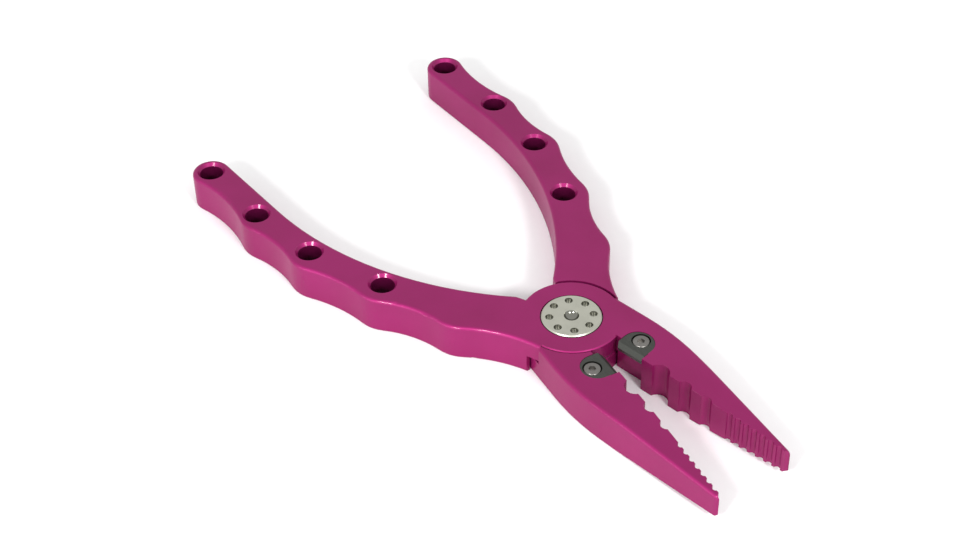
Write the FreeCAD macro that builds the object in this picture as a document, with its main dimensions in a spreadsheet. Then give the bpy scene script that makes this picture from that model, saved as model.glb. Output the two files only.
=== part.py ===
"""Machined aluminium fishing pliers with replaceable side cutters.

Millimetres, +Z up.  The origin is on the pivot axis, in the plane the pliers lie on.  +X points to the
jaw tips along the line of symmetry of the open pliers.  Each half is drawn in its closed position, with
the closing line on the X axis, and then turned open about the pivot by its Placement.

side = +1 is the lower half: handle at +Y, jaw at -Y, pivot boss in the lower layer.
side = -1 is the upper half, its mirror image, with its boss in the upper layer.
"""
import FreeCAD, Part
import math
import os

V = FreeCAD.Vector

DIMENSIONS = {
    # whole tool
    "half_opening": 9.0,          # degrees each half stands open from the closed position
    "thickness": 9.4,
    "top_edge_round": 0.9,
    "underside_edge_round": 0.4,
    "closing_gap": 0.02,          # each jaw's lands stop this far short of the closing line
    # handle
    "handle_end_radius": 4.7,
    "finger_hole_radius": 2.9,
    "finger_hole_flare": 0.6,
    "finger_hole_flare_depth": 0.75,
    "bump_radius": 9.0,
    "palm_arc_radius": 86.0,
    "palm_nose_round": 1.1,
    # jaw
    "jaw_depth": 11.95,
    "jaw_back_radius": 62.0,
    "jaw_tip_reach": 62.2,
    "jaw_tip_round": 1.5,
    "jaw_tip_top_nose": 0.8,
    "jaw_tip_underside_nose": 1.6,
    "taper_start": 34.0,
    "taper_angle": 3.3,           # degrees, on the top and on the underside
    "taper_blend_radius": 60.0,
    "nip_setback": 2.2,
    "tooth_pitch": 2.24,
    "tooth_radius": 0.8,
    # lap joint
    "boss_radius": 12.0,
    "boss_edge_break": 0.25,
    "shoulder_radius": 12.45,
    "lower_lap": 4.55,            # top of the lower half's boss
    "thrust_washer_thickness": 0.3,
    "thrust_washer_margin": 0.3,  # gap to the spring pocket inside and to the boss rim outside
    # pivot
    "shank_radius": 3.5,
    "bush_running_clearance": 0.03,
    "bush_radius": 4.5,
    "cap_radius": 7.05,
    "cap_seat_radius": 7.3,
    "cap_thickness": 1.6,
    "cap_proud": 0.25,
    "cap_edge_break": 0.25,
    "cap_washer_thickness": 0.3,
    "cap_washer_margin": 0.2,     # the cap and nut washers stop this far inside the cap's rim
    "cap_bowl_radius": 1.75,
    "cap_bowl_depth": 1.1,
    "spanner_hole_radius": 0.95,
    "spanner_circle_radius": 5.15,
    "spanner_hole_depth": 0.8,
    "pivot_thread_radius": 2.5,
    "thread_lead": 0.3,
    # return spring
    "spring_wire": 0.8,
    "spring_radius": 7.6,
    "spring_turns": 2.75,
    "spring_pitch": 0.88,
    "spring_pocket_inner": 5.4,
    "spring_pocket_outer": 9.6,
    "spring_pocket_depth_lower": 1.5,
    "spring_pocket_depth_upper": 1.8,
    "spring_leg_reach": 11.0,
    "spring_slot_side_gap": 0.15,
    "spring_slot_end_gap": 0.25,
    # cutters
    "cutter_thickness": 2.2,
    "cutter_sunk": 0.1,
    "cutter_radius": 3.8,
    "cutter_corner": 0.7,
    "cutter_corner_run": 1.12,
    "cutter_centre_x": 17.1,
    "cutter_centre_y": 3.45,
    "cutter_edge_depth": 0.85,
    "cutter_bevel": 1.0,
    "cutter_relief": 0.5,
    "cutter_fit_gap": 0.06,
    "screw_x": 17.0,
    "screw_y": 4.6,
    "screw_head_radius": 2.15,
    "screw_head_height": 1.15,
    "screw_seat_radius": 2.25,
    "screw_sunk": 0.25,
    "screw_thread_radius": 1.25,
    "screw_length": 4.4,
    "screw_hole_end_gap": 0.4,
    "screw_edge_break": 0.3,
    "screw_socket": 0.9,
    "screw_socket_depth": 0.55,
}

HOLE_CENTRES = [(-40.3, 21.4), (-61.6, 25.1), (-81.7, 24.3), (-102.9, 20.8)]
BUMP_CENTRES = [(-21.4, 12.9), (-40.8, 18.6), (-60.3, 21.6), (-79.6, 20.15)]
GROOVE_RADII = [27.0, 37.0, 28.0, 36.0]
HANDLE_ROOT = (1.6, 12.6)
HANDLE_ROOT_GROOVE = 36.0
PALM_ARC_TOP = (-66.0, 20.6)
PALM_NOSE_ANGLE = 53.1           # direction of the nose's round from the centre of the palm arc
PALM_FOOT_Y = 1.4
JAW_ROOT_X = 0.5
JAW_BACK_START_X = 12.9
JAW_TIP_CENTRE_Y = 0.18
NIP_END_X = 21.05
WAIST = 7.5                      # reach of the blank behind the pivot, all inside the round boss
WAIST_JAW_X = 5.0
SCALLOPS = [(26.6, 0.7, 2.5), (33.6, 0.6, 1.8), (39.6, 0.64, 1.54)]
TOOTH_COUNT = 8
FIRST_TOOTH = (46.0, 0.18)
SPANNER_HOLES = 8
SPANNER_PHASE = 12.75

# Lap joint: polar angles, from +X, where the shoulder of each half starts and stops.
JAW_SHOULDER_START = -64.5
HANDLE_SHOULDER_END = {+1: 93.0, -1: 98.0}
SHOULDER_CLEARANCE_REACH = 16.0
CLEARANCE_WIDENS_AT = 250.0
CLEARANCE_NARROWS_AT = 380.0
SPRING_START_ANGLE = 200.0
CUT_BEYOND = 1.0                 # how far a cutting outline runs on past the faces it cuts

doc = FreeCAD.newDocument("fishing_pliers")


def make_sheet():
    """Put the driving dimensions in a spreadsheet, one aliased cell each."""
    table = doc.addObject("Spreadsheet::Sheet", "sizes")
    for row, (name, value) in enumerate(DIMENSIONS.items(), start=1):
        table.set(f"A{row}", name)
        table.set(f"B{row}", str(value))
        table.setAlias(f"B{row}", name)
    doc.recompute()
    return table


sheet = make_sheet()


def size(name):
    return float(getattr(sheet, name))


THICK = size("thickness")
UPPER_LAP = size("lower_lap") + size("thrust_washer_thickness")


# ---------------------------------------------------------------- plan geometry

def polar(radius, degrees):
    angle = math.radians(degrees)
    return (radius * math.cos(angle), radius * math.sin(angle))


def touching_circle(first, first_radius, second, second_radius, radius):
    """Centre of the circle of this radius outside two circles and touching both, on the outer side."""
    ax, ay = first
    bx, by = second
    gap = math.hypot(bx - ax, by - ay)
    reach = first_radius + radius
    other = second_radius + radius
    along = (gap ** 2 + reach ** 2 - other ** 2) / (2 * gap)
    across = math.sqrt(reach ** 2 - along ** 2)
    ux, uy = (bx - ax) / gap, (by - ay) / gap
    return (ax + ux * along + uy * across, ay + uy * along - ux * across)


def belt(nodes):
    """Closed outline of lines and arcs, like a belt run round pulleys.

    A node is (x, y, radius).  A positive radius is a disc on the left of the path, a negative one a disc
    on its right, and zero a sharp corner.
    """
    leaving, arriving = {}, {}
    count = len(nodes)
    for i in range(count):
        j = (i + 1) % count
        (ax, ay, ar), (bx, by, br) = nodes[i], nodes[j]
        ratio = (br - ar) / math.hypot(bx - ax, by - ay)
        if abs(ratio) > 1 - 1e-9:
            ratio = math.copysign(1.0, ratio)
        normal_angle = math.atan2(by - ay, bx - ax) + math.acos(ratio)
        nx, ny = math.cos(normal_angle), math.sin(normal_angle)
        leaving[i] = V(ax - ar * nx, ay - ar * ny, 0)
        arriving[j] = V(bx - br * nx, by - br * ny, 0)
    edges = []
    for i in range(count):
        x, y, radius = nodes[i]
        start, end = arriving[i], leaving[i]
        if radius and (start - end).Length > 1e-6:
            edges.append(arc(V(x, y, 0), start, end, ccw=radius > 0))
        following = arriving[(i + 1) % count]
        if (following - end).Length > 1e-6:
            edges.append(Part.LineSegment(end, following))
    return edges


def arc(centre, start, end, ccw=True):
    first = math.atan2(start.y - centre.y, start.x - centre.x)
    last = math.atan2(end.y - centre.y, end.x - centre.x)
    if ccw and last < first:
        last += 2 * math.pi
    if not ccw and last > first:
        last -= 2 * math.pi
    middle = (first + last) / 2
    radius = (start - centre).Length
    through = centre + V(radius * math.cos(middle), radius * math.sin(middle), 0)
    return Part.Arc(start, through, end)


def mirrored(nodes, side):
    """The nodes of the lower half, or their mirror image in the closing line for the upper half."""
    return [(x, side * y, side * radius) for x, y, radius in nodes]


def ring(centre, radius):
    return Part.Circle(V(centre[0], centre[1], 0), V(0, 0, 1), radius)


# ---------------------------------------------------------------- PartDesign helpers

def new_body(name):
    body = doc.addObject("PartDesign::Body", name)
    body.Label = name
    return body


def origin_plane(body, role):
    return next(item for item in body.Origin.OriginFeatures if item.Role == role)


def sketch(body, name, geometry, height=None, role="XY_Plane"):
    """A sketch on an origin plane; height is a spreadsheet expression along the plane's normal."""
    drawing = body.newObject("Sketcher::SketchObject", name)
    drawing.AttachmentSupport = [(origin_plane(body, role), "")]
    drawing.MapMode = "FlatFace"
    if height is not None:
        drawing.setExpression("AttachmentOffset.Base.z", height)
    drawing.addGeometry(geometry, False)
    doc.recompute()
    return drawing


def pad(body, drawing, name, length):
    feature = body.newObject("PartDesign::Pad", name)
    feature.Profile = drawing
    feature.setExpression("Length", length)
    doc.recompute()
    return feature


def pocket(body, drawing, name, length=None, upward=False, both_ways=False, taper=0.0):
    """Cut a sketch into the body, downwards unless told otherwise; no length cuts right through."""
    before = body.Shape.Volume
    feature = body.newObject("PartDesign::Pocket", name)
    feature.Profile = drawing
    feature.Reversed = upward
    feature.TaperAngle = taper
    if both_ways:
        feature.SideType = "Symmetric"
    if length is None:
        feature.Type = "ThroughAll"
    else:
        feature.setExpression("Length", length)
    doc.recompute()
    if body.Shape.Volume > before - 1e-3:
        raise RuntimeError(f"{name} cuts nothing from {body.Label}")
    return feature


def dress(body, kind, name, edges, **amounts):
    """A fillet or chamfer on the edges that a test picks, with its sizes bound to the sheet."""
    before = body.Shape.Volume
    shape, trimmed = body.Shape, body.Tip
    picked = [f"Edge{i}" for i, edge in enumerate(shape.Edges, start=1) if edges(edge, shape)]
    feature = body.newObject(f"PartDesign::{kind}", name)
    feature.Base = (trimmed, picked)
    for amount, expression in amounts.items():
        feature.setExpression(amount, expression)
    doc.recompute()
    if not 0 < before - body.Shape.Volume < 0.05 * before:
        raise RuntimeError(f"{name} does not trim {body.Label}")
    return feature


def middle_of(edge):
    return edge.valueAt((edge.FirstParameter + edge.LastParameter) / 2)


def open_by(body, side):
    """Turn a closed-position body to its place in the open pliers."""
    body.Placement = FreeCAD.Placement(V(0, 0, 0), V(0, 0, 1), -side * size("half_opening"))


# ---------------------------------------------------------------- the two halves

def half_outline(side):
    """Plan of a half's handle and jaw, joined by a narrow waist that the round boss will cover."""
    land = -size("closing_gap")
    back = size("jaw_back_radius")
    depth = size("jaw_depth")
    tip_round = size("jaw_tip_round")
    tip_x = size("jaw_tip_reach") - tip_round
    tip_run = math.sqrt(tip_round ** 2 - (JAW_TIP_CENTRE_Y - land) ** 2)
    setback = size("nip_setback")
    bump = size("bump_radius")
    end = size("handle_end_radius")
    palm = size("palm_arc_radius")

    jaw = [
        (JAW_ROOT_X, -depth, 0),
        (JAW_BACK_START_X, back - depth, back),
        (tip_x, JAW_TIP_CENTRE_Y, tip_round),
        (tip_x + tip_run, land, 0),
        (NIP_END_X, land, 0),
        (NIP_END_X, -setback, 0),
        (WAIST_JAW_X, -setback, 0),
        (HANDLE_ROOT[0] / 2, HANDLE_ROOT[1] / 2, 0),
        (HANDLE_ROOT[0], HANDLE_ROOT[1], 0),
    ]

    handle = []
    previous, previous_radius = HANDLE_ROOT, 0.0
    grooves = [HANDLE_ROOT_GROOVE] + GROOVE_RADII
    knuckles = [(centre, bump) for centre in BUMP_CENTRES] + [(HOLE_CENTRES[-1], end)]
    for groove, (centre, radius) in zip(grooves, knuckles):
        hollow = touching_circle(previous, previous_radius, centre, radius, groove)
        handle.append((hollow[0], hollow[1], -groove))
        handle.append((centre[0], centre[1], radius))
        previous, previous_radius = centre, radius
    nose_round = size("palm_nose_round")
    nose_reach = palm + nose_round
    palm_x, palm_y = PALM_ARC_TOP[0], PALM_ARC_TOP[1] - palm
    nose_x = palm_x + nose_reach * math.cos(math.radians(PALM_NOSE_ANGLE))
    nose_y = palm_y + nose_reach * math.sin(math.radians(PALM_NOSE_ANGLE))
    handle += [
        (palm_x, palm_y, -palm),
        (nose_x, nose_y, nose_round),
        (-WAIST, PALM_FOOT_Y, 0),
        (JAW_ROOT_X, -WAIST, 0),
    ]
    return belt(mirrored(jaw + handle, side))


def shoulder_clearance(side):
    """Outline cleared in one layer, so that the other half's boss, handle and jaw can turn there."""
    inner = size("shoulder_radius")
    outer = SHOULDER_CLEARANCE_REACH
    corners = [HANDLE_SHOULDER_END[side], CLEARANCE_WIDENS_AT, 360.0 + JAW_SHOULDER_START,
               CLEARANCE_NARROWS_AT]
    radii = [inner, outer, inner, outer]
    edges = []
    for i, radius in enumerate(radii):
        start_angle = corners[i]
        end_angle = corners[(i + 1) % 4] + (360.0 if i == 3 else 0.0)
        start, end = polar(radius, start_angle), polar(radius, end_angle)
        through = polar(radius, (start_angle + end_angle) / 2)
        following = polar(radii[(i + 1) % 4], end_angle)
        points = [V(x, side * y, 0) for x, y in (start, through, end, following)]
        edges.append(Part.Arc(*points[:3]))
        edges.append(Part.LineSegment(points[2], points[3]))
    return edges


def stands_upright(face):
    low_u, high_u, low_v, high_v = face.ParameterRange
    return abs(face.normalAt((low_u + high_u) / 2, (low_v + high_v) / 2).z) < 0.01


def is_hand_edge(edge, shape):
    """Edges that a hand touches: the rims of the handle, of the jaw's back and of its tip."""
    sides = [stands_upright(face) for face in shape.ancestorsOfType(edge, Part.Face)]
    middle = middle_of(edge)
    beyond_boss = math.hypot(middle.x, middle.y) > size("boss_radius") + 0.6
    closing_side = middle.x > 0 and abs(middle.y) < size("nip_setback") + 0.1
    tip = middle.x > size("jaw_tip_reach") - size("jaw_tip_round")
    on_rim = any(sides) and not all(sides)
    return on_rim and beyond_boss and (tip or not closing_side)


def top_hand_edge(edge, shape):
    return middle_of(edge).z > THICK / 2 and is_hand_edge(edge, shape)


def underside_hand_edge(edge, shape):
    return middle_of(edge).z < THICK / 2 and is_hand_edge(edge, shape)


def add_boss(body, name, bottom, top):
    """The round pivot boss of a half, its two rims broken."""
    radius, rim = size("boss_radius"), size("boss_edge_break")
    profile = [(0, bottom), (radius - rim, bottom), (radius, bottom + rim), (radius, top - rim),
               (radius - rim, top), (0, top)]
    return revolve(body, name + "_boss_section", profile)


def taper_wedges():
    """Side view, in X and Z, of what is taken off the top and the underside of the jaw."""
    angle = math.radians(size("taper_angle"))
    blend = size("taper_blend_radius")
    start = size("taper_start") - blend * math.tan(angle / 2)
    end = size("jaw_tip_reach") + 5.0
    edges = []
    for face, sense in ((THICK, -1), (0.0, 1)):
        first = V(start, face, 0)
        half_sag = blend * (1 - math.cos(angle / 2))
        sag = blend * (1 - math.cos(angle))
        half_way = V(start + blend * math.sin(angle / 2), face + sense * half_sag, 0)
        slope_start = V(start + blend * math.sin(angle), face + sense * sag, 0)
        slope_end = V(end, slope_start.y + sense * (end - slope_start.x) * math.tan(angle), 0)
        corners = [slope_start, slope_end, V(end, face - sense, 0), V(start, face - sense, 0), first]
        edges.append(Part.Arc(first, half_way, slope_start))
        edges += [Part.LineSegment(corners[i], corners[i + 1]) for i in range(4)]
    return edges


def tip_noses():
    """Side view of what is taken off the two corners of the jaw's tip, to leave them round."""
    slope = math.tan(math.radians(size("taper_angle")))
    reach = size("jaw_tip_reach")
    beyond = reach + CUT_BEYOND
    edges = []
    top_nose, underside_nose = size("jaw_tip_top_nose"), size("jaw_tip_underside_nose")
    for face, sense, nose in ((THICK, -1, top_nose), (0.0, 1, underside_nose)):
        centre_x = reach - nose
        foot = face + sense * (centre_x - size("taper_start")) * slope
        centre = V(centre_x, foot + sense * nose, 0)
        half_way = centre + V(nose, -sense * nose, 0) / math.sqrt(2)
        first, last = V(centre_x, foot, 0), V(reach, centre.y, 0)
        corners = [last, V(beyond, centre.y, 0), V(beyond, face, 0), V(centre_x, face, 0), first]
        edges.append(Part.Arc(first, half_way, last))
        edges += [Part.LineSegment(corners[i], corners[i + 1]) for i in range(4)]
    return edges


def cutter_nodes():
    """Plan of a cutter: straight edge on the closing line, one corner taken off, round back."""
    x, y = size("cutter_centre_x"), size("cutter_centre_y")
    radius, corner = size("cutter_radius"), size("cutter_corner")
    corner_run = size("cutter_corner_run")
    land = -size("closing_gap")
    return [
        (x - radius + corner, land, 0),
        (x - radius, land - corner_run, 0),
        (x, -y, radius),
        (x + radius, land, 0),
    ]


def cutter_seat_nodes():
    """Plan of the pocket a cutter drops into, open to the closing line."""
    x, y = size("cutter_centre_x"), size("cutter_centre_y")
    radius = size("cutter_radius") + size("cutter_fit_gap")
    return [(x - radius, CUT_BEYOND, 0), (x, -y, radius), (x + radius, CUT_BEYOND, 0)]


def tang_slot(side, start_angle):
    """Slot for one straight leg of the return spring, along the tangent to the coil."""
    half_width = size("spring_wire") / 2 + size("spring_slot_side_gap")
    leg = math.sqrt(size("spring_leg_reach") ** 2 - size("spring_radius") ** 2)
    reach = leg + size("spring_slot_end_gap")
    foot = V(*polar(size("spring_radius"), start_angle), 0)
    along = V(*polar(1.0, start_angle - side * 90.0), 0)
    across = V(-along.y, along.x, 0) * half_width
    far = foot + along * reach
    corners = [foot + across, far + across, far - across, foot - across]
    return [Part.LineSegment(corners[i], corners[(i + 1) % 4]) for i in range(4)]


def spring_leg_angles():
    """Polar angles of the coil's two ends, in the open pliers: lower end, upper end."""
    return SPRING_START_ANGLE, SPRING_START_ANGLE + 360.0 * size("spring_turns")


def make_half(name, side):
    body = new_body(name)
    lower = side > 0
    top = "sizes.thickness"
    lap = "sizes.lower_lap" if lower else "sizes.lower_lap + sizes.thrust_washer_thickness"

    pad(body, sketch(body, name + "_plan", half_outline(side)), name + "_blank", top)
    pocket(body, sketch(body, name + "_taper_view", taper_wedges(), role="XZ_Plane"),
           name + "_taper", both_ways=True)
    dress(body, "Fillet", name + "_top_edges", top_hand_edge, Radius="sizes.top_edge_round")
    dress(body, "Fillet", name + "_underside_edges", underside_hand_edge,
          Radius="sizes.underside_edge_round")

    pocket(body, sketch(body, name + "_tip_view", tip_noses(), role="XZ_Plane"), name + "_tip_nose",
           both_ways=True)

    clearance = sketch(body, name + "_shoulder_plan", shoulder_clearance(side), height=lap)
    if lower:
        pocket(body, clearance, name + "_lap", "sizes.thickness", upward=True)
    else:
        pocket(body, clearance, name + "_lap", "sizes.thickness")
    add_boss(body, name, *((0, size("lower_lap")) if lower else (UPPER_LAP, THICK)))

    cut_finger_holes(body, name, side)

    scallops = [ring((x, side * y), radius) for x, y, radius in SCALLOPS]
    pocket(body, sketch(body, name + "_scallop_plan", scallops, height=top), name + "_scallops")
    tooth = [ring((FIRST_TOOTH[0], side * FIRST_TOOTH[1]), size("tooth_radius"))]
    valley = pocket(body, sketch(body, name + "_tooth_plan", tooth, height=top), name + "_tooth")
    teeth = body.newObject("PartDesign::LinearPattern", name + "_teeth")
    teeth.Originals = [valley]
    teeth.Direction = (next(o for o in body.Origin.OriginFeatures if o.Role == "X_Axis"), [""])
    teeth.Occurrences = TOOTH_COUNT
    teeth.setExpression("Length", f"sizes.tooth_pitch * {TOOTH_COUNT - 1}")
    body.Tip = teeth
    doc.recompute()

    seat = sketch(body, name + "_cutter_seat_plan", belt(mirrored(cutter_seat_nodes(), side)),
                  height=top)
    pocket(body, seat, name + "_cutter_seat", "sizes.cutter_thickness + sizes.cutter_sunk")
    tapped = sketch(body, name + "_screw_hole_plan",
                    [ring((size("screw_x"), side * -size("screw_y")), size("screw_thread_radius"))],
                    height=top)
    pocket(body, tapped, name + "_screw_hole",
           "sizes.screw_sunk + sizes.screw_head_height + sizes.screw_length + sizes.screw_hole_end_gap")

    cut_pivot_seats(body, name, side, lap)
    open_by(body, side)
    return body


def cut_finger_holes(body, name, side):
    """The four holes through the handle, each flared at both faces."""
    radius, flare = size("finger_hole_radius"), size("finger_hole_flare")
    holes = [ring((x, side * y), radius) for x, y in HOLE_CENTRES]
    pocket(body, sketch(body, name + "_finger_hole_plan", holes, height="sizes.thickness"),
           name + "_finger_holes")
    taper = -math.degrees(math.atan(flare / size("finger_hole_flare_depth")))
    mouths = [ring((x, side * y), radius + flare) for x, y in HOLE_CENTRES]
    for face, height, upward in (("top", "sizes.thickness", False), ("underside", "0", True)):
        plan = sketch(body, f"{name}_{face}_flare_plan", mouths, height=height)
        pocket(body, plan, f"{name}_{face}_flares", "sizes.finger_hole_flare_depth", upward=upward,
               taper=taper)


def cut_pivot_seats(body, name, side, lap):
    """Bush bore, cap or nut recess, and the spring's pocket and slot, in one half."""
    lower = side > 0
    depth = "sizes.spring_pocket_depth_lower" if lower else "sizes.spring_pocket_depth_upper"
    outer_face = "0" if lower else "sizes.thickness"
    bore = sketch(body, name + "_bore_plan", [ring((0, 0), size("bush_radius"))],
                  height="sizes.thickness")
    pocket(body, bore, name + "_bore")
    recess = sketch(body, name + "_cap_seat_plan", [ring((0, 0), size("cap_seat_radius"))],
                    height=outer_face)
    seat_depth = "sizes.cap_thickness + sizes.cap_washer_thickness"
    if not lower:
        seat_depth += " - sizes.cap_proud"
    pocket(body, recess, name + "_cap_seat", seat_depth, upward=lower)
    walls = [ring((0, 0), size("spring_pocket_inner")), ring((0, 0), size("spring_pocket_outer"))]
    groove = sketch(body, name + "_spring_pocket_plan", walls, height=lap)
    pocket(body, groove, name + "_spring_pocket", depth, upward=not lower)
    lower_leg, upper_leg = spring_leg_angles()
    opening = size("half_opening")
    angle = lower_leg + opening if lower else upper_leg - opening
    slot = sketch(body, name + "_spring_slot_plan", tang_slot(side, angle), height=lap)
    pocket(body, slot, name + "_spring_slot", depth, upward=not lower)


# ---------------------------------------------------------------- pivot

def tube(name, inner, outer, bottom, height):
    """A plain ring about the pivot axis; every argument is a spreadsheet expression."""
    parts = []
    for label, radius in ((name + "_outside", outer), (name + "_inside", inner)):
        cylinder = doc.addObject("Part::Cylinder", label)
        cylinder.setExpression("Radius", radius)
        cylinder.setExpression("Height", height)
        cylinder.setExpression("Placement.Base.z", bottom)
        parts.append(cylinder)
    cut = doc.addObject("Part::Cut", name)
    cut.Base, cut.Tool = parts
    cut.Label = name
    doc.recompute()
    return cut


def spanner_holes(body, name, height, upward):
    """Ring of shallow holes that a pin spanner turns."""
    centre = polar(size("spanner_circle_radius"), SPANNER_PHASE)
    plan = sketch(body, name + "_spanner_plan", [ring(centre, size("spanner_hole_radius"))],
                  height=height)
    hole = pocket(body, plan, name + "_spanner_hole", "sizes.spanner_hole_depth", upward=upward)
    pattern = body.newObject("PartDesign::PolarPattern", name + "_spanner_holes")
    pattern.Originals = [hole]
    pattern.Axis = (next(o for o in body.Origin.OriginFeatures if o.Role == "Z_Axis"), [""])
    pattern.Angle = 360.0
    pattern.Occurrences = SPANNER_HOLES
    body.Tip = pattern
    doc.recompute()


def make_pivot_bolt():
    """Bolt whose round head is the cap on the upper half; its thread ends flush in the nut."""
    body = new_body("pivot_bolt")
    head_top = THICK + size("cap_proud")
    head_bottom = head_top - size("cap_thickness")
    nut_top = size("cap_thickness")
    cap, shank, thread = size("cap_radius"), size("shank_radius"), size("pivot_thread_radius")
    lead = size("thread_lead")
    rim = size("cap_edge_break")
    bowl_rim, bowl_depth = size("cap_bowl_radius"), size("cap_bowl_depth")
    bowl_curve = (bowl_rim ** 2 + bowl_depth ** 2) / (2 * bowl_depth)
    half_way = bowl_rim / 2
    half_way_height = head_top - bowl_depth + bowl_curve - math.sqrt(bowl_curve ** 2 - half_way ** 2)
    profile = [
        (0, 0), (thread - lead, 0), (thread, lead), (thread, nut_top), (shank, nut_top),
        (shank, head_bottom), (cap, head_bottom), (cap, head_top - rim), (cap - rim, head_top),
        (bowl_rim, head_top),
        (half_way, half_way_height), (0, head_top - bowl_depth),
    ]
    revolve(body, "pivot_bolt_section", profile, curved_from=profile.index((bowl_rim, head_top)))
    spanner_holes(body, "pivot_bolt", "sizes.thickness + sizes.cap_proud", upward=False)
    return body


def revolve(body, name, profile, curved_from=None):
    """Turn a closed (radius, height) profile about the Z axis; three points can be one arc."""
    corners = [V(x, z, 0) for x, z in profile]
    lines = []
    for i in range(len(corners)):
        following = corners[(i + 1) % len(corners)]
        if i == curved_from:
            lines.append(Part.Arc(corners[i], following, corners[i + 2]))
        elif curved_from is None or i != curved_from + 1:
            lines.append(Part.LineSegment(corners[i], following))
    drawing = sketch(body, name, lines, role="XZ_Plane")
    feature = body.newObject("PartDesign::Revolution", name + "_turned")
    feature.Profile = drawing
    feature.ReferenceAxis = (drawing, ["V_Axis"])
    feature.Angle = 360.0
    doc.recompute()
    return feature


def make_pivot_nut():
    body = new_body("pivot_nut")
    nut_top = size("cap_thickness")
    cap, thread = size("cap_radius"), size("pivot_thread_radius")
    rim = size("cap_edge_break")
    profile = [(thread, 0), (cap - rim, 0), (cap, rim), (cap, nut_top), (thread, nut_top)]
    revolve(body, "pivot_nut_section", profile)
    spanner_holes(body, "pivot_nut", "0", upward=True)
    return body


def make_bushes_and_washers():
    """Bronze bushes pressed into the halves, and the washers that the halves turn against."""
    bush_inner = "sizes.shank_radius + sizes.bush_running_clearance"
    floor = "sizes.cap_thickness + sizes.cap_washer_thickness"
    ceiling = "sizes.thickness + sizes.cap_proud - sizes.cap_thickness - sizes.cap_washer_thickness"
    lap_top = "sizes.lower_lap + sizes.thrust_washer_thickness"
    washer_outer = "sizes.cap_radius - sizes.cap_washer_margin"
    tubes = [
        tube("lower_bush", bush_inner, "sizes.bush_radius", floor, f"sizes.lower_lap - ({floor})"),
        tube("upper_bush", bush_inner, "sizes.bush_radius", lap_top, f"{ceiling} - ({lap_top})"),
        tube("lap_thrust_washer", "sizes.spring_pocket_outer + sizes.thrust_washer_margin",
             "sizes.boss_radius - sizes.thrust_washer_margin", "sizes.lower_lap",
             "sizes.thrust_washer_thickness"),
        tube("cap_washer", bush_inner, washer_outer, ceiling, "sizes.cap_washer_thickness"),
        tube("nut_washer", bush_inner, washer_outer, "sizes.cap_thickness",
             "sizes.cap_washer_thickness"),
    ]
    return tubes


def make_return_spring():
    """Torsion spring hidden in the bosses: a helix whose straight legs run on along its end tangents."""
    radius, turns, pitch = size("spring_radius"), size("spring_turns"), size("spring_pitch")
    wire_radius = size("spring_wire") / 2
    leg = math.sqrt(size("spring_leg_reach") ** 2 - radius ** 2)
    room_low = size("lower_lap") - size("spring_pocket_depth_lower")
    room_high = UPPER_LAP + size("spring_pocket_depth_upper")
    start_angle = spring_leg_angles()[0]
    rise = turns * pitch
    bottom = (room_low + room_high - rise) / 2

    helix = Part.makeHelix(pitch, rise, radius)
    helix.rotate(V(0, 0, 0), V(0, 0, 1), start_angle)
    helix.translate(V(0, 0, bottom))
    coil = helix.Edges
    first, last = coil[0], coil[-1]
    start = first.valueAt(first.FirstParameter)
    finish = last.valueAt(last.LastParameter)
    start_tangent = first.tangentAt(first.FirstParameter)
    finish_tangent = last.tangentAt(last.LastParameter)
    leg_in = Part.makeLine(start - start_tangent * leg, start)
    leg_out = Part.makeLine(finish, finish + finish_tangent * leg)
    path = Part.Wire([leg_in] + coil + [leg_out])
    section = Part.Wire(Part.makeCircle(wire_radius, start - start_tangent * leg, start_tangent))
    spring = doc.addObject("Part::Feature", "return_spring")
    spring.Shape = path.makePipeShell([section], True, True)
    spring.Label = "return_spring"
    expected = math.pi * wire_radius ** 2 * path.Length
    if abs(spring.Shape.Volume - expected) > 0.02 * expected:
        raise RuntimeError("return spring has the wrong volume")
    return spring


# ---------------------------------------------------------------- cutters

def make_cutter(name, side):
    """Steel cutter plate, sunk in the top of a jaw, bevelled to an edge on the closing line."""
    body = new_body(name)
    top = THICK - size("cutter_sunk")
    bottom = top - size("cutter_thickness")
    plate = sketch(body, name + "_plan", belt(mirrored(cutter_nodes(), side)),
                   height="sizes.thickness - sizes.cutter_sunk - sizes.cutter_thickness")
    pad(body, plate, name + "_plate", "sizes.cutter_thickness")
    edge_height = top - size("cutter_edge_depth")
    bevel = size("cutter_bevel")
    relief = size("cutter_relief")
    beyond = side * CUT_BEYOND
    land = side * -size("closing_gap")
    upper = [(land - side * bevel, top), (land, edge_height), (land + beyond, edge_height),
             (land + beyond, top)]
    under = [(land, edge_height), (land - side * relief, bottom), (land + beyond, bottom),
             (land + beyond, edge_height)]
    for label, profile in (("_top_bevel", upper), ("_relief", under)):
        corners = [V(y, z, 0) for y, z in profile]
        lines = [Part.LineSegment(corners[i], corners[(i + 1) % 4]) for i in range(4)]
        pocket(body, sketch(body, name + label + "_view", lines, role="YZ_Plane"), name + label,
               both_ways=True)
    centre = (size("screw_x"), side * -size("screw_y"))
    seat = sketch(body, name + "_screw_seat_plan", [ring(centre, size("screw_seat_radius"))],
                  height="sizes.thickness")
    pocket(body, seat, name + "_screw_seat", "sizes.screw_sunk + sizes.screw_head_height")
    hole = sketch(body, name + "_screw_hole_plan", [ring(centre, size("screw_thread_radius") + 0.15)],
                  height="sizes.thickness")
    pocket(body, hole, name + "_screw_hole")
    open_by(body, side)
    return body


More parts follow.
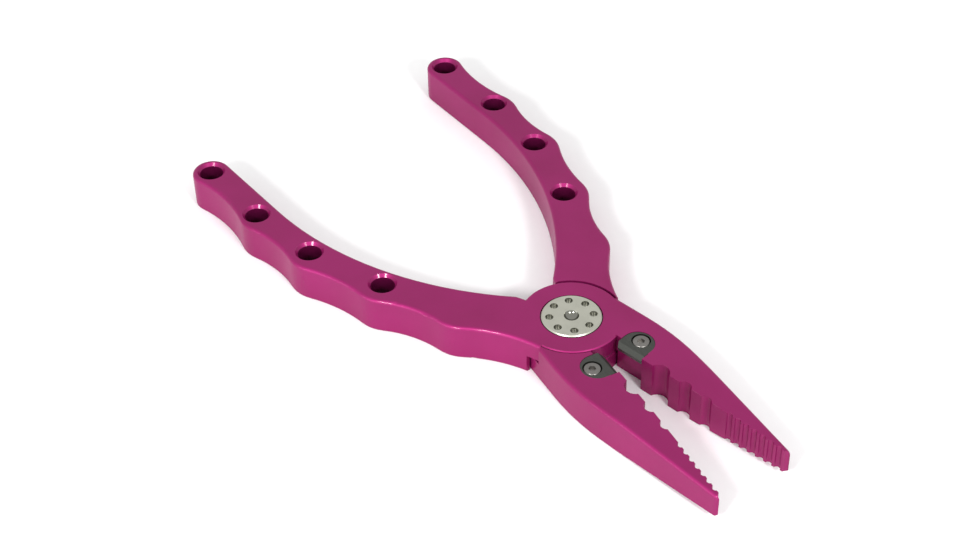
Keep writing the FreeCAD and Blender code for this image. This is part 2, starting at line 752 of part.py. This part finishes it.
def make_cutter_screw(name, side):
    """Cap screw with a hexagonal socket that holds a cutter down."""
    body = new_body(name)
    head_top = THICK - size("screw_sunk")
    head_bottom = head_top - size("screw_head_height")
    tail = head_bottom - size("screw_length")
    head, thread = size("screw_head_radius"), size("screw_thread_radius")
    lead, rim = size("thread_lead"), size("screw_edge_break")
    profile = [(0, tail), (thread - lead, tail), (thread, tail + lead), (thread, head_bottom),
               (head, head_bottom), (head, head_top - rim), (head - rim, head_top), (0, head_top)]
    revolve(body, name + "_section", profile)
    corners = [V(*polar(size("screw_socket"), 60 * i), 0) for i in range(6)]
    lines = [Part.LineSegment(corners[i], corners[(i + 1) % 6]) for i in range(6)]
    socket = sketch(body, name + "_socket_plan", lines, height="sizes.thickness - sizes.screw_sunk")
    pocket(body, socket, name + "_socket", "sizes.screw_socket_depth")
    turn = FreeCAD.Rotation(V(0, 0, 1), -side * size("half_opening"))
    spot = turn.multVec(V(size("screw_x"), side * -size("screw_y"), 0))
    body.Placement = FreeCAD.Placement(spot, turn)
    return body


# ---------------------------------------------------------------- assembly and export

def check_and_export(pieces):
    doc.recompute()
    for item in doc.Objects:
        if "Invalid" in item.State or "Error" in item.State:
            raise RuntimeError(f"{item.Name} failed: {item.State}")
    for piece in pieces:
        shape = piece.Shape
        if shape.isNull() or not shape.isValid() or len(shape.Solids) != 1:
            raise RuntimeError(f"{piece.Label} is not one valid solid")
    os.makedirs("parts", exist_ok=True)
    for piece in pieces:
        piece.Shape.exportStep(f"parts/{piece.Label}.step")
        box = piece.Shape.BoundBox
        print(f"{piece.Label:20s} volume {piece.Shape.Volume:9.1f}  "
              f"X {box.XMin:7.2f} {box.XMax:7.2f}  Y {box.YMin:7.2f} {box.YMax:7.2f}  "
              f"Z {box.ZMin:6.2f} {box.ZMax:6.2f}")


pieces = [make_half("lower_half", +1), make_half("upper_half", -1)]
pieces += [make_pivot_bolt(), make_pivot_nut()]
pieces += make_bushes_and_washers()
pieces.append(make_return_spring())
pieces += [make_cutter("lower_half_cutter", +1), make_cutter("upper_half_cutter", -1)]
pieces += [make_cutter_screw("lower_half_cutter_screw", +1), make_cutter_screw("upper_half_cutter_screw", -1)]
check_and_export(pieces)
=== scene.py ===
"""Looks for the anodised fishing pliers: materials, studio light, pale floor and camera, in metres."""
import math

import bpy
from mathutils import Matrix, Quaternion, Vector

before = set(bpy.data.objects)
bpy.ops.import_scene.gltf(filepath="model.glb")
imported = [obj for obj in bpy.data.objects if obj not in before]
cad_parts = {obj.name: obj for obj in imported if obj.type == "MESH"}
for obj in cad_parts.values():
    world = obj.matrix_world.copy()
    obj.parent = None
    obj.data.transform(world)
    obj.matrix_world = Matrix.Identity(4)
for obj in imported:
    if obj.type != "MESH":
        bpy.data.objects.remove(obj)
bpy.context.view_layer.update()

MM = 0.001

# Colours are linear RGBA, each with the darker shade that it is mottled with.
MAGENTA = (0.300, 0.012, 0.122, 1)
MAGENTA_DEEP = (0.270, 0.010, 0.106, 1)
MAGENTA_WORN = (0.62, 0.30, 0.42, 1)
# Painted shade colour for the hollows of the anodised halves.
MAGENTA_PAINTED_SHADE = (0.075, 0.003, 0.028, 1)
MAGENTA_SHEEN = (0.85, 0.30, 0.56, 1)
SATIN = (0.56, 0.56, 0.48, 1)
SATIN_DARK = (0.49, 0.49, 0.42, 1)
# Painted shade colour for the inside of the spanner holes.
SATIN_HOLE_SHADE = (0.25, 0.25, 0.22, 1)
# Painted reflection: dark tint of the polished bowl.
SATIN_BOWL_REFLECTION = (0.24, 0.24, 0.21, 1)
BLADE = (0.10, 0.105, 0.095, 1)
BLADE_DARK = (0.07, 0.073, 0.066, 1)
SCREW = (0.25, 0.24, 0.225, 1)
SCREW_DARK = (0.19, 0.18, 0.17, 1)
BRONZE = (0.62, 0.40, 0.17, 1)
BRONZE_DARK = (0.45, 0.27, 0.11, 1)
SPRING = (0.50, 0.50, 0.50, 1)
SPRING_DARK = (0.35, 0.35, 0.36, 1)
# Painted shade: the washers are near-black so that the seam between the bosses shows as a dark line of
# shade.
WASHER_SEAM_SHADE = (0.060, 0.056, 0.055, 1)
WASHER_SEAM_SHADE_DARK = (0.045, 0.042, 0.042, 1)
FLOOR = (0.88, 0.88, 0.88, 1)
FLOOR_DARK = (0.85, 0.85, 0.85, 1)

# Pivot cap, measured from the pivot axis and from the plane the pliers lie on.
BOWL_RADIUS = 1.76 * MM
SPANNER_RING_INNER = 3.9 * MM
SPANNER_RING_OUTER = 6.4 * MM
PIVOT_MIDDLE = 4.82 * MM
PIVOT_INSIDE = 4.74 * MM         # anything this near the middle height lies below an outer face

CAMERA_PLACE = (0.24932, -0.21001, 0.30712)
CAMERA_AIM = (-0.60265, 0.45095, -0.65838)
CAMERA_ROLL = -1.11              # degrees
LENS = 70.63                     # millimetres, on the sensor below
SENSOR = 36.0
LIT_POINT = (-0.02, 0, 0)
FLOOR_HALF = 2.0
FLOOR_HEIGHT = -0.05 * MM
SKY_STRENGTH = 0.87


# ---------------------------------------------------------------- node helpers

class Graph:
    """A material's node tree, with short calls that add a node and feed its inputs."""

    def __init__(self, name):
        self.material = bpy.data.materials.new(name)
        self.material.use_nodes = True
        self.tree = self.material.node_tree
        self.tree.nodes.clear()

    def feed(self, socket, value):
        """Link a socket to an output, or give it a constant."""
        if isinstance(value, bpy.types.NodeSocket):
            self.tree.links.new(value, socket)
        else:
            socket.default_value = value

    def add(self, kind, settings=None, **inputs):
        node = self.tree.nodes.new(kind)
        for key, value in (settings or {}).items():
            setattr(node, key, value)
        for key, value in inputs.items():
            self.feed(node.inputs[key.replace("_", " ")], value)
        return node

    def math(self, operation, first, second=0.0):
        node = self.add("ShaderNodeMath", {"operation": operation})
        self.feed(node.inputs[0], first)
        self.feed(node.inputs[1], second)
        return node.outputs[0]

    def position(self):
        return self.add("ShaderNodeTexCoord").outputs["Object"]

    def stretched(self, scale):
        return self.add("ShaderNodeMapping", Vector=self.position(), Scale=scale).outputs[0]

    def noise(self, vector, grain, detail=2.0, roughness=0.5):
        """Noise whose features are about this many metres across."""
        node = self.add("ShaderNodeTexNoise", Vector=vector, Scale=1.0 / grain, Detail=detail,
                        Roughness=roughness)
        return node.outputs["Fac"]

    def remap(self, value, low, high, to_low=0.0, to_high=1.0):
        """Take the range low..high to to_low..to_high, and hold it there beyond the ends."""
        node = self.add("ShaderNodeMapRange", Value=value, From_Min=low, From_Max=high, To_Min=to_low,
                        To_Max=to_high)
        return node.outputs[0]

    def mix(self, factor, first, second):
        """Blend two colours; a mix node's colour sockets are its inputs 6 and 7 and its output 2."""
        node = self.add("ShaderNodeMix", {"data_type": "RGBA"})
        for index, value in ((0, factor), (6, first), (7, second)):
            self.feed(node.inputs[index], value)
        return node.outputs[2]

    def bump(self, height, distance, strength):
        return self.add("ShaderNodeBump", Height=height, Distance=distance, Strength=strength).outputs[0]

    def edge_mask(self, radius):
        """1 on edges sharper than this radius, 0 on open faces."""
        sharp, flat = 0.80, 0.98
        round_normal = self.add("ShaderNodeBevel", {"samples": 6}, Radius=radius).outputs[0]
        face_normal = self.add("ShaderNodeNewGeometry").outputs["Normal"]
        dot = self.add("ShaderNodeVectorMath", {"operation": "DOT_PRODUCT"})
        self.feed(dot.inputs[0], round_normal)
        self.feed(dot.inputs[1], face_normal)
        return self.remap(dot.outputs["Value"], flat, sharp)

    def painted_shade_mask(self, reach):
        """Painted shade: 1 deep in holes and hollows of the piece itself, where ambient occlusion finds
        them shut in, 0 on open faces.
        """
        deep, open_face = 0.25, 0.75
        node = self.add("ShaderNodeAmbientOcclusion", {"samples": 8, "only_local": True}, Distance=reach)
        return self.remap(node.outputs["AO"], deep, open_face, 1.0, 0.0)

    def finish(self, shader):
        output = self.tree.nodes.new("ShaderNodeOutputMaterial")
        self.tree.links.new(shader.outputs[0], output.inputs["Surface"])
        return self.material


# ---------------------------------------------------------------- materials

def anodised(name, colour, deep):
    """Bead-blasted aluminium, dyed and sealed: matt grain under a thin glossy skin, pale wear on edges."""
    drift_size, grain_size, patch_size = 18 * MM, 0.16 * MM, 2.5 * MM
    edge_radius, worn_share = 0.18 * MM, 0.3
    shade_reach, shade_share = 7 * MM, 0.8
    g = Graph(name)
    drift = g.noise(g.position(), drift_size, detail=3.0)
    grain = g.noise(g.position(), grain_size, detail=2.0, roughness=0.6)
    tint = g.mix(g.remap(drift, 0.35, 0.65), colour, deep)
    patches = g.remap(g.noise(g.position(), patch_size, detail=4.0), 0.5, 0.7)
    worn = g.math("MULTIPLY", g.edge_mask(edge_radius), patches)
    tint = g.mix(g.math("MULTIPLY", worn, worn_share), tint, MAGENTA_WORN)
    # Painted shade: hollows, bores and recesses of the half are darkened towards the painted shade colour.
    painted_shade = g.math("MULTIPLY", g.painted_shade_mask(shade_reach), shade_share)
    tint = g.mix(painted_shade, tint, MAGENTA_PAINTED_SHADE)
    matt = g.remap(grain, 0.3, 0.7, 0.48, 0.58)
    roughness = g.math("ADD", matt, g.remap(drift, 0.3, 0.7, -0.02, 0.03))
    shader = g.add("ShaderNodeBsdfPrincipled", Base_Color=tint, Roughness=roughness, Metallic=0.72,
                   Specular_Tint=MAGENTA_SHEEN, Coat_Weight=0.40, Coat_Roughness=0.14,
                   Normal=g.bump(grain, 0.006 * MM, 0.3))
    return g.finish(shader)


def blasted_metal(name, colour, dark, rough):
    """Fine, even, grainy metal."""
    grain_size, cloud_size = 0.12 * MM, 4 * MM
    g = Graph(name)
    grain = g.noise(g.position(), grain_size, detail=3.0, roughness=0.6)
    cloud = g.noise(g.position(), cloud_size, detail=3.0)
    shader = g.add("ShaderNodeBsdfPrincipled", Base_Color=g.mix(g.remap(cloud, 0.3, 0.7), colour, dark),
                   Roughness=g.remap(grain, 0.3, 0.7, rough - 0.05, rough + 0.07), Metallic=1.0,
                   Normal=g.bump(grain, 0.008 * MM, 0.4))
    return g.finish(shader)


def turned_cap(name, colour, dark, rough):
    """Satin turned face with faint rings, painted shade in the spanner holes and a painted dark reflection
    in the polished bowl at the centre.
    """
    ring_pitch, ring_share = 0.11 * MM, 0.15
    grain_size, cloud_size = 0.12 * MM, 4 * MM
    g = Graph(name)
    place = g.position()
    axes = g.add("ShaderNodeSeparateXYZ", Vector=place)
    squares = [g.math("POWER", axes.outputs[axis], 2.0) for axis in "XY"]
    across = g.math("SQRT", g.math("ADD", *squares))
    rings = g.math("SINE", g.math("MULTIPLY", across, 2 * math.pi / ring_pitch))
    bowl = g.math("LESS_THAN", across, BOWL_RADIUS)
    from_middle = g.math("ABSOLUTE", g.math("SUBTRACT", axes.outputs["Z"], PIVOT_MIDDLE))
    below_face = g.math("LESS_THAN", from_middle, PIVOT_INSIDE)
    in_ring = g.math("MULTIPLY", g.math("GREATER_THAN", across, SPANNER_RING_INNER),
                     g.math("LESS_THAN", across, SPANNER_RING_OUTER))
    # Painted shade: the spanner holes, below the cap's outer faces, are tinted dark for the shade inside
    # them.
    painted_hole_shade = g.math("MULTIPLY", below_face, in_ring)
    grain = g.noise(place, grain_size, detail=3.0, roughness=0.6)
    cloud = g.noise(place, cloud_size, detail=3.0)
    tint = g.mix(g.remap(cloud, 0.3, 0.7), colour, dark)
    tint = g.mix(painted_hole_shade, tint, SATIN_HOLE_SHADE)
    # Painted reflection: the polished bowl is tinted dark for the dark room it mirrors; its lower
    # roughness and weaker bump are real polish.
    tint = g.mix(bowl, tint, SATIN_BOWL_REFLECTION)
    satin = g.remap(grain, 0.3, 0.7, rough - 0.05, rough + 0.07)
    roughness = g.math("MULTIPLY", satin, g.remap(bowl, 0.0, 1.0, 1.0, 0.35))
    height = g.math("ADD", g.math("MULTIPLY", rings, ring_share), grain)
    strength = g.remap(bowl, 0.0, 1.0, 0.4, 0.05)
    shader = g.add("ShaderNodeBsdfPrincipled", Base_Color=tint, Roughness=roughness, Metallic=1.0,
                   Normal=g.bump(height, 0.008 * MM, strength))
    return g.finish(shader)


def ground_metal(name, colour, dark, rough):
    """Straight grinding lines along X."""
    line_size, cloud_size = 0.09 * MM, 3 * MM
    along_lines = (0.06, 1.0, 1.0)
    g = Graph(name)
    lines = g.noise(g.stretched(along_lines), line_size, detail=3.0, roughness=0.65)
    cloud = g.noise(g.position(), cloud_size, detail=3.0)
    tint = g.mix(g.remap(lines, 0.3, 0.7), colour, dark)
    tint = g.mix(g.remap(cloud, 0.4, 0.75, 0.0, 0.35), tint, dark)
    shader = g.add("ShaderNodeBsdfPrincipled", Base_Color=tint, Metallic=1.0,
                   Roughness=g.remap(lines, 0.3, 0.7, rough - 0.05, rough + 0.08),
                   Normal=g.bump(lines, 0.006 * MM, 0.35))
    return g.finish(shader)


def moulded(name, colour, dark, rough):
    """Smooth plastic with a fine skin."""
    skin_size = 0.3 * MM
    g = Graph(name)
    skin = g.noise(g.position(), skin_size, detail=2.0)
    shader = g.add("ShaderNodeBsdfPrincipled", Base_Color=g.mix(skin, colour, dark),
                   Roughness=g.remap(skin, 0.3, 0.7, rough - 0.04, rough + 0.04),
                   Normal=g.bump(skin, 0.004 * MM, 0.3))
    return g.finish(shader)


MATERIALS = {
    "half": anodised("anodised_magenta", MAGENTA, MAGENTA_DEEP),
    "pivot": turned_cap("pivot_satin", SATIN, SATIN_DARK, rough=0.34),
    "cutter": ground_metal("cutter_ground", BLADE, BLADE_DARK, rough=0.42),
    "screw": blasted_metal("screw_steel", SCREW, SCREW_DARK, rough=0.36),
    "bronze": ground_metal("bush_bronze", BRONZE, BRONZE_DARK, rough=0.3),
    "spring": ground_metal("spring_wire", SPRING, SPRING_DARK, rough=0.28),
    "washer": moulded("washer_plastic", WASHER_SEAM_SHADE, WASHER_SEAM_SHADE_DARK, rough=0.42),
}

NODE_MATERIALS = {
    "lower_half": "half",
    "upper_half": "half",
    "pivot_bolt": "pivot",
    "pivot_nut": "pivot",
    "lower_bush": "bronze",
    "upper_bush": "bronze",
    "lap_thrust_washer": "washer",
    "cap_washer": "washer",
    "nut_washer": "washer",
    "return_spring": "spring",
    "lower_half_cutter": "cutter",
    "upper_half_cutter": "cutter",
    "lower_half_cutter_screw": "screw",
    "upper_half_cutter_screw": "screw",
}

for node, key in NODE_MATERIALS.items():
    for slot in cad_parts[node].material_slots:
        slot.material = MATERIALS[key]


# ---------------------------------------------------------------- floor, light, camera

def make_floor():
    """A wide, pale, matt sheet just under the pliers."""
    grain_size = 3 * MM
    signs = ((-1, -1), (1, -1), (1, 1), (-1, 1))
    corners = [(x * FLOOR_HALF, y * FLOOR_HALF, FLOOR_HEIGHT) for x, y in signs]
    mesh = bpy.data.meshes.new("floor")
    mesh.from_pydata(corners, [], [(0, 1, 2, 3)])
    floor = bpy.data.objects.new("floor", mesh)
    bpy.context.collection.objects.link(floor)
    g = Graph("floor_white")
    grain = g.noise(g.position(), grain_size, detail=2.0)
    shader = g.add("ShaderNodeBsdfPrincipled", Base_Color=g.mix(grain, FLOOR, FLOOR_DARK), Roughness=0.9)
    floor.data.materials.append(g.finish(shader))


def softbox(name, azimuth, elevation, distance, width, height, watts):
    """Rectangular light aimed at the pliers; azimuth is in degrees from +X towards +Y."""
    light = bpy.data.lights.new(name, "AREA")
    light.shape = "RECTANGLE"
    light.size, light.size_y = width, height
    light.energy = watts
    lamp = bpy.data.objects.new(name, light)
    bpy.context.collection.objects.link(lamp)
    a, e = math.radians(azimuth), math.radians(elevation)
    outward = Vector((math.cos(e) * math.cos(a), math.cos(e) * math.sin(a), math.sin(e)))
    lamp.location = Vector(LIT_POINT) + outward * distance
    lamp.rotation_euler = (-outward).to_track_quat("-Z", "Y").to_euler()


def make_world():
    world = bpy.data.worlds.new("studio")
    bpy.context.scene.world = world
    world.use_nodes = True
    background = world.node_tree.nodes["Background"]
    background.inputs["Color"].default_value = (1, 1, 1, 1)
    background.inputs["Strength"].default_value = SKY_STRENGTH


def make_camera():
    data = bpy.data.cameras.new("camera")
    data.sensor_width = SENSOR
    data.lens = LENS
    data.clip_start = 10 * MM
    camera = bpy.data.objects.new("camera", data)
    bpy.context.collection.objects.link(camera)
    camera.location = CAMERA_PLACE
    roll = Quaternion((0, 0, 1), math.radians(CAMERA_ROLL))
    camera.rotation_mode = "QUATERNION"
    camera.rotation_quaternion = Vector(CAMERA_AIM).to_track_quat("-Z", "Y") @ roll
    bpy.context.scene.camera = camera


make_floor()
make_world()
softbox("left_flash", azimuth=293, elevation=35, distance=0.60, width=0.11, height=0.08, watts=2.1)
softbox("right_flash", azimuth=353, elevation=34, distance=0.70, width=0.12, height=0.09, watts=2.3)
softbox("front_low", azimuth=275, elevation=8, distance=0.40, width=0.44, height=0.10, watts=0.45)
make_camera()
bpy.context.scene.view_settings.view_transform = "Standard"
